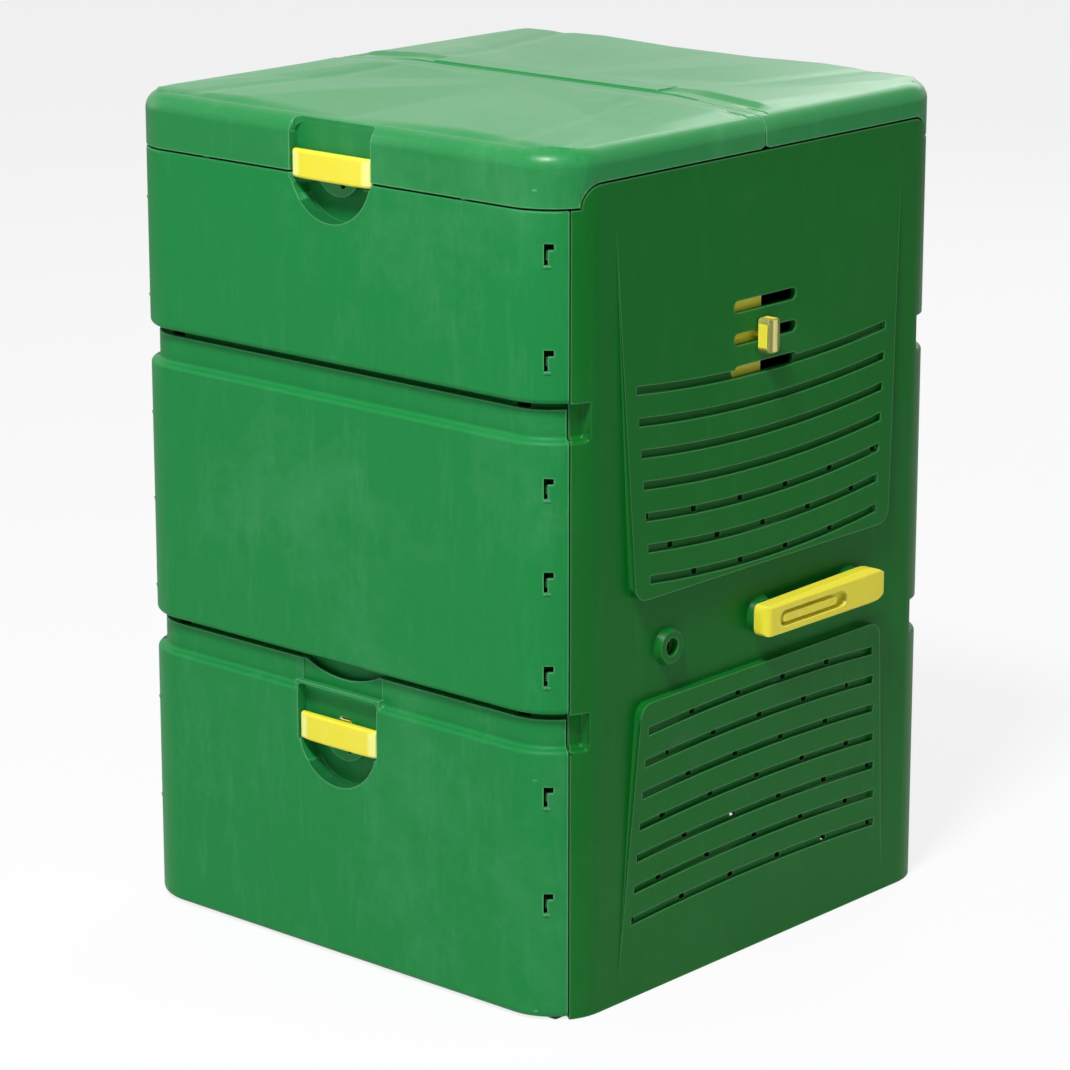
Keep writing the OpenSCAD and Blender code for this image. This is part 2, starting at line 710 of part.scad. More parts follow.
module link_bar() {
  x = crank_x + crank_t + clear;
  color(steel) difference() {
    translate([0, pin_y, shaft_z - pin_y]) union() {
      translate([x, -slat_pitch, -8]) cube([bar_t, 2 * slat_pitch, 16]);
      for (k = [-1, 1]) translate([0, k * slat_pitch, 0]) rod_x(x, x + bar_t, 8);
    }
    for (k = [-1:1]) translate([0, k * slat_pitch + pin_y, shaft_z - pin_y]) rod_x(x - 1, x + bar_t + 1, 4 + fit);
  }
}
// Sloping ledge between a middle panel and the grate, shorter where the corners round
module ledge() {
  y0 = wall_t + clear;
  y1 = half_d - 1.5 * slat_pitch - 5;
  x_long = half_w - wall_t - clear;
  x_short = run_x - 8;
  color(deep_green) intersection() {
    along_x(-x_long, x_long) translate([-half_d, shaft_z]) polygon([
      [y0, 100], [y0 + 4, 100], [y0 + 4, 78], [y1 - 30, 4], [y1, 4], [y1, -8],
      [y1 - 4, -8], [y1 - 4, 0], [y1 - 31, 0], [y0, 72]]);
    union() {
      translate([-x_short, -half_d, 0]) cube([2 * x_short, half_d, side_h]);
      translate([-x_long, -run_y + 4, 0]) cube([2 * x_long, run_y, side_h]);
    }
  }
}

// Lever on the middle shaft, with a grip rib in its long recess
lever_x = half_w + raise + 1;
lever_face = lever_x + lever_t;
module lever_outline() {
  r0 = 14;
  h0 = 24;
  r1 = 20;
  h1 = 29;
  polygon(concat(
    arc(-lever_tail + r0, h0 - r0, r0, 90, 180), arc(-lever_tail + r0, -h0 + r0, r0, 180, 270),
    arc(lever_reach - r1, -h1 + r1 + 2, r1, 270, 360), arc(lever_reach - r1, h1 - r1, r1, 0, 90)));
}
module lever() {
  grip_y = [20, 186];
  color(yellow) difference() {
    union() {
      translate([0, 0, shaft_z]) intersection() {
        along_x(lever_x, lever_face) lever_outline();
        translate([0, lever_reach + 1, 0]) rotate([90, 0, 0]) linear_extrude(lever_reach + lever_tail + 2)
          polygon([[lever_x, -30], [lever_face - 6, -30], [lever_face, -24], [lever_face, 20],
            [lever_face - 9, 30], [lever_x, 30]]);
      }
      translate([0, 0, shaft_z]) rod_x(half_w - 40, lever_x + 1, 8 - fit);
      translate([0, 0, shaft_z]) rod_x(half_w + boss_out + clear, lever_x + 1, 18);
    }
    along_x(lever_face - 10, lever_face + 1)
      translate([(grip_y[0] + grip_y[1]) / 2, shaft_z - 2]) slot_shape(grip_y[1] - grip_y[0], 26);
    along_x(lever_x - 0.5, lever_face - 14)
      translate([(grip_y[0] + grip_y[1]) / 2 + 16, shaft_z]) slot_shape(grip_y[1] - grip_y[0] + 20, 34);
    translate([lever_pin_x, 0, shaft_z - 20]) cylinder(r = 2.5, h = 40);
  }
  color(yellow) along_x(lever_face - 11, lever_face - 1)
    translate([(grip_y[0] + grip_y[1]) / 2 - 8, shaft_z - 2]) slot_shape(grip_y[1] - grip_y[0] - 34, 12);
}
module lever_pin() {
  color(steel) translate([lever_pin_x, 0, shaft_z - shaft_r]) cylinder(r = 2.5 - fit, h = 2 * shaft_r - 0.5);
}

// Ridge beam under the joint of the lids, with the eyes that carry both hinge rods
eye_x = [-200, -75, 75, 200];
eye_w = 24;
module eye(x, y) {
  translate([x - eye_w / 2, y, rod_z]) children();
}
beam_end = half_w - 12;
module ridge_beam() {
  color(deep_green) difference() {
    union() {
      translate([-beam_end, -beam_half, beam_top - beam_h])
        cube([2 * beam_end, 2 * beam_half, beam_h]);
      for (x = eye_x, s = [-1, 1]) {
        eye(x, s * rod_y) rod_x(0, eye_w, eye_r);
        translate([x - eye_w / 2, s > 0 ? rod_y - 3 : -rod_y - eye_r, beam_top - 1])
          cube([eye_w, eye_r + 3, rod_z - beam_top + 1]);
      }
    }
    translate([-half_w, -beam_half + 4, beam_top - beam_h - 1]) cube([body_w, 2 * beam_half - 8, beam_h - 3]);
    for (s = [-1, 1]) translate([0, s * rod_y, rod_z]) rod_x(-half_w, half_w, rod_r + fit);
  }
}
module lid_rod() {
  color(steel) translate([0, -rod_y, rod_z]) rod_x(eye_x[0] - 18, eye_x[3] + 42, rod_r);
}

// Lid: shell with rounded top edge, light crown, pressed folds, skirt and hinge eyes
rim_z = panel_top + lid_rise;
lid_z0 = panel_top + lid_gap;
module lid_section() {
  z = rim_z - lid_edge_r;
  translate([0, lid_z0]) square([lid_t, z - lid_z0]);
  difference() {
    intersection() {
      translate([lid_edge_r, z]) circle(r = lid_edge_r);
      translate([0, z]) square(lid_edge_r);
    }
    translate([lid_edge_r, z]) circle(r = lid_edge_r - lid_t);
  }
}
module lid_walls() {
  sweep_front(90) lid_section();
  for (s = [-1, 1]) translate([0, s > 0 ? -run_y : -lid_joint / 2, 0]) rotate([0, 0, s * 90])
    translate([0, -half_w, 0]) rotate([90, 0, 90]) linear_extrude(run_y - lid_joint / 2) lid_section();
}
// Level top inside the rounded edge, and the crown that rises from it like a hipped roof
crown_flat = 230;
module lid_top() {
  difference() {
    union() {
      translate([0, 0, rim_z - lid_t]) linear_extrude(lid_t) lid_top_plan();
      intersection() {
        lid_roof(0);
        translate([0, 0, rim_z - 1]) linear_extrude(lid_crown + 2) lid_top_plan();
      }
    }
    lid_roof(lid_t);
  }
}
module lid_top_plan() {
  translate([-run_x, -half_d + lid_edge_r]) square([2 * run_x, half_d - lid_edge_r - lid_joint / 2]);
  translate([-half_w + lid_edge_r, -run_y]) square([body_w - 2 * lid_edge_r, run_y - lid_joint / 2]);
  for (s = [-1, 1]) translate([s * run_x, -run_y]) circle(r = corner_r - lid_edge_r);
}
// Space under the crown's slopes, lowered by t
module lid_roof(t) {
  x = half_w - lid_edge_r;
  y = half_d - lid_edge_r;
  z = rim_z - t;
  intersection() {
    along_x(-x - 1, x + 1) polygon([[-y, z], [0, z + lid_crown], [1, z + lid_crown], [1, z - 6], [-y, z - 6]]);
    rotate([90, 0, 0]) linear_extrude(y + 1) polygon([[-x, z - 6], [-x, z], [-crown_flat, z + lid_crown],
      [crown_flat, z + lid_crown], [x, z], [x, z - 6]]);
  }
}
// Height of the crown at a place on the lid
function crown_z(x, y) = rim_z + max(0, lid_crown * min(1 + y / (half_d - lid_edge_r),
  (half_w - lid_edge_r - abs(x)) / (half_w - lid_edge_r - crown_flat)));
// One pressed fold of the fan: its base lies inside the shell, its ridge runs out to the edge
module lid_fold(s) {
  base = [[0, -30], [14, -350], [226, -372], [284, -366], [196, -22]];
  low = [for (p = base) [s * p[0], p[1], crown_z(p[0], p[1]) - 1]];
  peak = [s * 190, -318, crown_z(190, -318) + fold_rise];
  root = [s * 120, -200, crown_z(120, -200) - 3.6];
  polyhedron(points = concat(low, [peak, root]), faces = [for (i = [0:4], up = [0, 1])
    let (j = (i + 1) % 5) (s > 0) == (up == 1) ? [i, up == 1 ? 5 : 6, j] : [i, j, up == 1 ? 5 : 6]]);
}
// Room over the side walls, whose rounded ends stand up into the corner of the lid
module lid_side_room() {
  r = side_h - panel_top;
  y1 = run_y + corner_r * sin(seam_deg) - 14 + lid_gap;
  along_x(-half_w - 1, half_w + 1) {
    translate([-y1, -1]) square([y1 + 10, panel_top + 1]);
    translate([-y1 + r + lid_gap, 0]) square([y1, side_h + lid_gap]);
    translate([-y1 + r + lid_gap, panel_top]) circle(r = r + lid_gap);
    polygon([[-lid_joint / 2 - 6, side_h], [10, side_h], [10, side_h + lid_gap + 3.5],
      [-lid_joint / 2, side_h + lid_gap + 3.5], [-lid_joint / 2 - 6, side_h + lid_gap]]);
  }
}
module lid_eyes() {
  for (x = eye_x) translate([x + eye_w + clear, 0, 0]) {
    eye(0, -rod_y) rod_x(0, eye_w, eye_r);
    translate([-eye_w / 2, -rod_y - eye_r, rod_z]) cube([eye_w, 2 * eye_r, rod_below - 2]);
  }
}
module lid() {
  z = lid_latch_z;
  pocket_top = rim_z - 9;
  color(green) difference() {
    union() {
      lid_walls();
      lid_top();
      for (s = [-1, 1]) lid_fold(s);
      along_x(-pocket_w / 2 - 4, pocket_w / 2 + 4) translate([-half_d, 0]) polygon([[2, lid_z0],
        [pocket_deep + 4, lid_z0], [pocket_deep + 4, pocket_top + 6], [14, pocket_top + 6],
        [10, pocket_top + 3], [4, pocket_top - 6], [2, pocket_top - 16]]);
      tongue(z + 1);
      into_front(pocket_deep, pocket_deep + 4) translate([-tongue_r, z]) square([2 * tongue_r, 20]);
      lid_eyes();
      for (s = [-1, 1]) translate([s * 230 - 5, 3 - half_d, panel_top + clear]) cube([10, 4.4, 30]);
    }
    lid_side_room();
    pocket_cut(lid_z0 - 20, pocket_top, 14);
    latch_pin_bore(z, latch_pin_r);
    translate([0, -rod_y, rod_z]) rod_x(-half_w, half_w, rod_r + fit);
    lid_joint_chamfer();
  }
}
// Chamfer along the joint, so that the lids clear each other as they swing
module lid_joint_chamfer() {
  c = 3.3;
  z = rim_z + lid_crown;
  along_x(-half_w, half_w) polygon([[-lid_joint / 2 - c, z + 0.1], [1, z + 0.1], [1, z - 12],
    [-lid_joint / 2, z - 12], [-lid_joint / 2, z - c]]);
}
// Low raised strip along the joint of the rear lid
module rear_lid() {
  z = rim_z + lid_crown;
  to_rear() lid();
  color(green) difference() {
    translate([-200, lid_joint / 2 + 7, z - 3]) cube([400, 42, 5]);
    translate([0, 0, z + 2]) rotate([0, 0, 0]) translate([-201, lid_joint / 2 + 6, -1.5]) rotate([45, 0, 0])
      cube([402, 0.5, 0.5]);
  }
}

side_wall();  // side_wall_right
to_rear() side_wall();  // side_wall_left
front_panel_top();
panel_middle();  // front_panel_middle
to_rear() front_panel_top();  // rear_panel_top
to_rear() panel_middle();  // rear_panel_middle
flap();  // front_flap
to_rear() flap();  // rear_flap
flap_pins();  // front_flap_pins
to_rear() flap_pins();  // rear_flap_pins
flap_latch();  // front_flap_latch
to_rear() flap_latch();  // rear_flap_latch
latch_pin(flap_latch_z);  // front_flap_latch_pin
to_rear() latch_pin(flap_latch_z);  // rear_flap_latch_pin
ridge_beam();
lid_rod();  // front_lid_rod
to_rear() lid_rod();  // rear_lid_rod
lid();  // front_lid
rear_lid();
lid_latch();  // front_lid_latch
to_rear() lid_latch();  // rear_lid_latch
latch_pin(lid_latch_z);  // front_lid_latch_pin
to_rear() latch_pin(lid_latch_z);  // rear_lid_latch_pin
vent_plate();  // vent_plate_right
to_rear() vent_plate();  // vent_plate_left
vent_knob();  // vent_knob_right
to_rear() vent_knob();  // vent_knob_left
translate([0, -slat_pitch, 0]) slat();  // front_slat
slat();  // middle_slat
translate([0, slat_pitch, 0]) slat();  // rear_slat
link_bar();
lever();
lever_pin();
ledge();  // front_ledge
to_rear() ledge();  // rear_ledge
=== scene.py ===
import json
import math

import bpy
from mathutils import Matrix, Vector

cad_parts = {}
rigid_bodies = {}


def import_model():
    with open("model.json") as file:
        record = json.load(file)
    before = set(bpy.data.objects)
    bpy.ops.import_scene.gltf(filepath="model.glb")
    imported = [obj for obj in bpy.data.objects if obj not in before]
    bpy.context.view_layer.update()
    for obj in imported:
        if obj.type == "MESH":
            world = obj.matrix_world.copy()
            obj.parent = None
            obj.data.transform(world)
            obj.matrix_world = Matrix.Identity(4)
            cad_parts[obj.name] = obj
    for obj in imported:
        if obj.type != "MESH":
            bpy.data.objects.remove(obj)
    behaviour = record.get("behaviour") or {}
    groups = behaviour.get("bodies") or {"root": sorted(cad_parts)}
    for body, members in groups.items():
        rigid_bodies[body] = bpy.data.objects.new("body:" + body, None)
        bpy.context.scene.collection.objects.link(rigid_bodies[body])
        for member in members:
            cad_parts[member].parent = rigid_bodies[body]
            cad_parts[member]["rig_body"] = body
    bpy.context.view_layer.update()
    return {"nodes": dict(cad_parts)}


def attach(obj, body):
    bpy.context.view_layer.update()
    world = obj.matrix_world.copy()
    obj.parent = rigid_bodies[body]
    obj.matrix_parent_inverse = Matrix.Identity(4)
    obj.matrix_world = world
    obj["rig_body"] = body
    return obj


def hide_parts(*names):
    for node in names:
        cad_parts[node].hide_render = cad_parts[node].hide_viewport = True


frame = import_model()
nodes = frame["nodes"]

# Camera: where the photograph was taken from, a little under six metres from the bin,
# looking down on it by fifteen degrees with a long lens.
look_down, turn_left = 14.6, 41.51
bpy.ops.object.camera_add(location=(3.549, -4.018, 1.979))
camera = bpy.context.object
camera.name = "camera"
camera.rotation_euler = (math.radians(90 - look_down), 0, math.radians(turn_left))
camera.data.sensor_width = 36
camera.data.lens = 134.68
camera.data.shift_y = -0.05
camera.data.clip_end = 60
bpy.context.scene.camera = camera


# Floor: a wide pale floor that looks white to the camera and keeps the shadow of the bin.
# The ground inside the open foot of the bin stays dark, as under a real one.
def combine(tree, operation, *values):
    """Work out numbers or sockets with a Math node, and give back its output."""
    node = tree.nodes.new("ShaderNodeMath")
    node.operation = operation
    for place, value in enumerate(values):
        if isinstance(value, (int, float)):
            node.inputs[place].default_value = value
        else:
            tree.links.new(value, node.inputs[place])
    return node.outputs[0]


inside_foot = {"X": 0.364, "Y": 0.379}
whiteness = 0.82
bpy.ops.mesh.primitive_plane_add(size=40, location=(0, 0, 0))
floor = bpy.context.object
floor.name = "floor"
floor_mat = bpy.data.materials.new("pale_floor")
floor_mat.use_nodes = True
tree = floor_mat.node_tree
shader = tree.nodes["Principled BSDF"]
shader.inputs["Base Color"].default_value = (0.86, 0.86, 0.86, 1)
shader.inputs["Roughness"].default_value = 0.9
paper = tree.nodes.new("ShaderNodeEmission")
paper.inputs["Color"].default_value = (1, 1, 1, 1)
mix = tree.nodes.new("ShaderNodeMixShader")
path = tree.nodes.new("ShaderNodeLightPath")
coord = tree.nodes.new("ShaderNodeTexCoord")
axes = tree.nodes.new("ShaderNodeSeparateXYZ")
tree.links.new(coord.outputs["Object"], axes.inputs[0])
beyond = [combine(tree, "GREATER_THAN", combine(tree, "ABSOLUTE", axes.outputs[axis]), half)
          for axis, half in inside_foot.items()]
seen = combine(tree, "MULTIPLY", combine(tree, "MAXIMUM", *beyond), path.outputs["Is Camera Ray"])
tree.links.new(combine(tree, "MULTIPLY", seen, whiteness), mix.inputs[0])
tree.links.new(shader.outputs[0], mix.inputs[1])
tree.links.new(paper.outputs[0], mix.inputs[2])
tree.links.new(mix.outputs[0], tree.nodes["Material Output"].inputs["Surface"])
floor.data.materials.append(floor_mat)

# Studio: a white tent round the bin. Camera, glossy and transmission rays see it plain white,
# and on the bin itself it falls as a weak, even light.
world = bpy.data.worlds.new("studio")
bpy.context.scene.world = world
world.use_nodes = True
tree = world.node_tree
sky = tree.nodes["Background"]
sky.inputs["Color"].default_value = (0.95, 0.98, 1.0, 1)
sky.inputs["Strength"].default_value = 0.24
white = tree.nodes.new("ShaderNodeBackground")
white.inputs["Color"].default_value = (1, 1, 1, 1)
white.inputs["Strength"].default_value = 1.0
mix = tree.nodes.new("ShaderNodeMixShader")
path = tree.nodes.new("ShaderNodeLightPath")
sees_white = combine(tree, "MAXIMUM", path.outputs["Is Camera Ray"], path.outputs["Is Glossy Ray"])
sees_white = combine(tree, "MAXIMUM", sees_white, path.outputs["Is Transmission Ray"])
tree.links.new(sees_white, mix.inputs[0])
tree.links.new(sky.outputs[0], mix.inputs[1])
tree.links.new(white.outputs[0], mix.inputs[2])
tree.links.new(mix.outputs[0], tree.nodes["World Output"].inputs["Surface"])
bpy.context.scene.view_settings.view_transform = "Standard"

# Lamps: a key lamp high in front and a little to the lever side, where the sun stood,
# and a weak fill from the left and one from behind.
lamps = (("key_lamp", (1.25, -2.60, 4.90), 0.9, 268),
         ("fill_lamp", (-4.4, -1.6, 2.4), 2.6, 25),
         ("back_lamp", (-1.5, 4.6, 3.4), 2.6, 60))
middle_of_bin = Vector((0, 0, 0.6))
for name, place, size, power in lamps:
    bpy.ops.object.light_add(type="AREA", location=place)
    lamp = bpy.context.object
    lamp.name = name
    lamp.data.size = size
    lamp.data.energy = power
    lamp.rotation_euler = (Vector(place) - middle_of_bin).to_track_quat("Z", "Y").to_euler()


# Side walls: each one moulding over the full height in dark green, which is the panels' green
# painted darker as painted shade on walls turned from the light. They have raised panels, arched grooves,
# air holes a little wider than high, and shaft bosses. The moulding tool leaves soft edges and a fine grain.
def spread(tree, value, start=0, end=1, low=0, high=1):
    """Take a value from start..end to low..high."""
    node = tree.nodes.new("ShaderNodeMapRange")
    for socket, number in (("From Min", start), ("From Max", end), ("To Min", low), ("To Max", high)):
        node.inputs[socket].default_value = number
    tree.links.new(value, node.inputs["Value"])
    return node.outputs["Result"]


def stretched(tree, place, scale, turn=(0, 0, 0)):
    """The places of a pattern, pulled long in one direction and turned."""
    node = tree.nodes.new("ShaderNodeMapping")
    node.inputs["Scale"].default_value = scale
    node.inputs["Rotation"].default_value = turn
    tree.links.new(place, node.inputs["Vector"])
    return node.outputs["Vector"]


def noise(tree, place, scale, detail=2, roughness=0.5):
    """A noise pattern at the given places."""
    node = tree.nodes.new("ShaderNodeTexNoise")
    for socket, number in (("Scale", scale), ("Detail", detail), ("Roughness", roughness)):
        node.inputs[socket].default_value = number
    tree.links.new(place, node.inputs["Vector"])
    return node.outputs["Fac"]


def mixed(tree, share, first, second):
    """Two colours, each a plain one or a socket, mixed by a share."""
    node = tree.nodes.new("ShaderNodeMix")
    node.data_type = "RGBA"
    for socket, colour in (("A", first), ("B", second)):
        if isinstance(colour, tuple):
            node.inputs[socket].default_value = (*colour, 1)
        else:
            tree.links.new(colour, node.inputs[socket])
    tree.links.new(share, node.inputs["Factor"])
    return node.outputs["Result"]


def moulded(name, colour, pale, roughness=0.4, dust=0.3, grain=0.2, gloss=0.12):
    """Moulded plastic: cloudy dust, rubbed streaks, a fine grain, and soft edges with a painted highlight that
    makes convex edges paler.
    """
    mat = bpy.data.materials.new(name)
    mat.use_nodes = True
    tree = mat.node_tree
    shader = tree.nodes["Principled BSDF"]
    place = tree.nodes.new("ShaderNodeTexCoord").outputs["Object"]

    cloud = noise(tree, place, 3.2, detail=8, roughness=0.72)
    streaks = noise(tree, stretched(tree, place, (34, 34, 7), (0.35, 0.3, 0)), 1, detail=7, roughness=0.75)
    dusty = combine(tree, "MULTIPLY_ADD", spread(tree, streaks, 0.52, 0.72), 0.6,
                    spread(tree, cloud, 0.52, 0.74))
    amount = combine(tree, "MULTIPLY", dusty, dust)
    amount.node.use_clamp = True

    # Convex edges, found by an inside AO node, are painted paler as a painted highlight, with a higher
    # specular level there too.
    inward = tree.nodes.new("ShaderNodeAmbientOcclusion")
    inward.inside = True
    inward.only_local = True
    inward.samples = 6
    inward.inputs["Distance"].default_value = 0.0024
    rim = spread(tree, inward.outputs["AO"], 0.90, 0.30)
    painted_edge_highlight = tuple(min(0.92, 1.1 * part + 0.03) for part in pale)
    colours = mixed(tree, rim, mixed(tree, amount, colour, pale), painted_edge_highlight)
    tree.links.new(colours, shader.inputs["Base Color"])
    tree.links.new(spread(tree, rim, low=gloss, high=0.6), shader.inputs["Specular IOR Level"])
    sheen = spread(tree, cloud, low=roughness - 0.08, high=roughness + 0.12)
    tree.links.new(sheen, shader.inputs["Roughness"])

    soft = tree.nodes.new("ShaderNodeBevel")
    soft.samples = 4
    soft.inputs["Radius"].default_value = 0.0014
    bump = tree.nodes.new("ShaderNodeBump")
    bump.inputs["Strength"].default_value = grain
    bump.inputs["Distance"].default_value = 0.0005
    tree.links.new(soft.outputs["Normal"], bump.inputs["Normal"])
    tree.links.new(noise(tree, place, 520), bump.inputs["Height"])
    tree.links.new(bump.outputs["Normal"], shader.inputs["Normal"])
    return mat


def select_only(piece):
    bpy.ops.object.select_all(action="DESELECT")
    piece.select_set(True)
    bpy.context.view_layer.objects.active = piece


def edit_all():
    """Open the active piece for editing, with all of it selected."""
    bpy.ops.object.mode_set(mode="EDIT")
    bpy.ops.mesh.select_all(action="SELECT")


def even_shading(piece):
    """Smooth shading in which large flat faces stay flat and only the curves between them turn."""
    select_only(piece)
    bpy.ops.object.shade_smooth_by_angle(angle=math.radians(32))
    weigh = piece.modifiers.new("even", "WEIGHTED_NORMAL")
    weigh.mode = "FACE_AREA"
    weigh.weight = 100
    weigh.keep_sharp = True
    bpy.ops.object.modifier_apply(modifier=weigh.name)


corner_x, corner_y, corner_r = 0.310, 0.325, 0.080
bore_reach, skin = 0.0036, 0.0006


def close_bores(piece, bores):
    """Close each pin bore where it would come out at the rounded corners of a piece."""
    for bore_y, bore_z in bores:
        for hand in (1, -1):
            ring = [vertex for vertex in piece.data.vertices if hand * vertex.co.x > corner_x
                    and math.hypot(abs(vertex.co.y) - bore_y, vertex.co.z - bore_z) < bore_reach
                    and math.hypot(abs(vertex.co.x) - corner_x, abs(vertex.co.y) - corner_y) > corner_r - skin]
            bore_x = min(ring, key=lambda vertex: abs(abs(vertex.co.y) - bore_y)).co.x
            for vertex in ring:
                vertex.co = (bore_x, math.copysign(bore_y, vertex.co.y), bore_z)


def moulding(node, name, mat, cut=None, rounded=0, shaded=True, bores=()):
    """The mesh of a solid, merged and clean, cut or rounded if asked, on the solid's body."""
    source = nodes[node]
    same_place = 0.00001
    piece = bpy.data.objects.new(name, source.data.copy())
    piece.data.name = name
    bpy.context.collection.objects.link(piece)
    select_only(piece)
    edit_all()
    bpy.ops.mesh.remove_doubles(threshold=same_place)
    bpy.ops.object.mode_set(mode="OBJECT")
    if cut:
        scoop = piece.modifiers.new("scoop", "BOOLEAN")
        scoop.operation = "DIFFERENCE"
        scoop.solver = "EXACT"
        scoop.object = cut
        bpy.ops.object.modifier_apply(modifier=scoop.name)
        bpy.data.objects.remove(cut)
    close_bores(piece, bores)
    edit_all()
    bpy.ops.mesh.remove_doubles(threshold=same_place)
    bpy.ops.mesh.dissolve_limited(angle_limit=math.radians(0.6))
    if rounded:
        bpy.ops.mesh.select_all(action="DESELECT")
        bpy.ops.mesh.edges_select_sharp(sharpness=math.radians(35))
        bpy.ops.mesh.bevel(offset=rounded, segments=2, profile=0.5)
    bpy.ops.object.mode_set(mode="OBJECT")
    if shaded:
        even_shading(piece)
    piece.data.materials.clear()
    piece.data.materials.append(mat)
    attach(piece, source["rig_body"])
    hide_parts(node)
    return piece


# A darker copy of the panels' green: painted shade on the side walls.
side_green = moulded("side_green", (0.003, 0.138, 0.014), (0.03, 0.20, 0.05), roughness=0.36, dust=0.25)
upper_rows, lower_rows, rows_half, groove_x = (0.53, 0.74), (0.10, 0.42), 0.25, 0.4021
upper_pitches, lower_pitches = [0.096], [0.102 - 0.001 * row for row in range(8)]
hole_half, wider, close_by = 0.004, 0.0014, 0.00012
for hand in ("right", "left"):
    wall = moulding("side_wall_" + hand, hand + "_wall_moulding", side_green)
    for vertex in wall.data.vertices:
        x, y, z = vertex.co
        upper = upper_rows[0] < z < upper_rows[1]
        lower = lower_rows[0] < z < lower_rows[1]
        if (upper or lower) and abs(x) < groove_x and abs(y) < rows_half:
            for pitch in upper_pitches if upper else lower_pitches:
                from_hole = y - round(2 * y / pitch) * pitch / 2
                if abs(abs(from_hole) - hole_half) < close_by:
                    vertex.co.y += math.copysign(wider, from_hole)
                    break

# Front and rear panels: two fixed mouldings on each face, mid green, snapped to the side walls
# along their corner bands; the upper one has the finger recess under the lid.
front_green = moulded("front_green", (0.010, 0.222, 0.050), (0.09, 0.34, 0.15), roughness=0.42)
for face in ("front", "rear"):
    moulding(face + "_panel_top", face + "_upper_panel", front_green)
    moulding(face + "_panel_middle", face + "_middle_panel", front_green)


# Catch lips: the short wall behind the arch in the lower edge of each middle panel, moulded
# with it in the same green. The catch of the flap latch sits under it.
def block(name, half_x, depths, heights):
    """A closed block, from half its width and its two places in depth and in height."""
    bpy.ops.object.select_all(action="DESELECT")
    bpy.ops.mesh.primitive_cube_add(size=1)
    piece = bpy.context.object
    piece.name = piece.data.name = name
    for vertex in piece.data.vertices:
        x, y, z = vertex.co
        vertex.co = (math.copysign(half_x, x), sorted(depths)[y > 0], sorted(heights)[z > 0])
    return piece


lip_half, lip_depths, lip_heights = 0.075, (0.376, 0.380), (0.380, 0.446)
for face, front in (("front", -1), ("rear", 1)):
    lip = block(face + "_catch_lip", lip_half, [front * depth for depth in lip_depths], lip_heights)
    edit_all()
    bpy.ops.mesh.bevel(offset=0.0012, segments=3)
    bpy.ops.object.mode_set(mode="OBJECT")
    even_shading(lip)
    lip.data.materials.append(front_green)
    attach(lip, "frame")

# Flaps: the lowest panel of each face, moulded in the same green as the panels above it. Each
# swings down on two steel pins along its foot, and carries its latch on a third one.
flap_pin, flap_latch_pin = (0.395, 0.012), (0.396, 0.326)
for face in ("front", "rear"):
    moulding(face + "_flap", face + "_flap_moulding", front_green,
             bores=(flap_pin, flap_latch_pin))

# Lids: two shells of lighter green that meet over the middle, each crowned and pressed with
# a fan of folds that stiffens it, and scooped out over its latch through the front edge.
lid_green = moulded("lid_green", (0.010, 0.222, 0.050), (0.12, 0.40, 0.18),
                    roughness=0.32, dust=0.25, grain=0.15, gloss=0.3)
rim_z, top_z = 1.137, 1.1488
lid_half, lid_front, joint_y, edge_band = 0.366, 0.381, 0.012, 0.0005
crown_rise, crown_half = 0.010, 0.230
fold_rise, fan_y, ridge_turn, valley_turn, last_turn = 0.0062, 0.035, 31, 60, 100
fade_side, fade_front = 0.372, 0.386
hip_start, hip_end, hip_depth, hip_half = Vector((0.198, -0.015)), Vector((0.285, 0.395)), 0.0020, 0.014
scoop_half, scoop_depths, scoop_heights, scoop_r = 0.0725, (0.3892, 0.43), (1.112, 1.165), 0.011
strip_half, strip_y = 0.204, 0.053
lid_latch_pin = (0.396, 1.088)
grid = 0.0082


def smooth(a, b, x):
    t = min(1, max(0, (x - a) / (b - a)))
    return t * t * (3 - 2 * t)


def crown(x, y):
    """Height of the lid's crown at a place, y counted from the joint towards the front."""
    to_side = (lid_half - abs(x)) / (lid_half - crown_half)
    return rim_z + max(0, crown_rise * min(1 - y / lid_front, to_side))


def fan(x, y):
    """Rise of the pressed folds: ridges and valleys that run out from the middle of the joint."""
    turn = math.degrees(math.atan2(abs(x), max(y - fan_y, 0.0001)))
    if y <= fan_y:
        rise = 0
    elif turn < ridge_turn:
        rise = turn / ridge_turn
    elif turn < valley_turn:
        rise = 1 - (turn - ridge_turn) / (valley_turn - ridge_turn)
    else:
        rise = (turn - valley_turn) / (last_turn - valley_turn)
    edge = smooth(0, 0.03, fade_side - abs(x)) * smooth(0, 0.02, fade_front - y)
    along = (hip_end - hip_start).normalized()
    from_hip = Vector((abs(x), y)) - hip_start
    aside = abs(from_hip.x * along.y - from_hip.y * along.x)
    crease = hip_depth * math.exp(-(aside / hip_half) ** 2) * smooth(0, 0.1, y)
    reach = smooth(0.015, 0.30, math.hypot(x, y - fan_y))
    return (fold_rise * rise * reach - crease) * edge


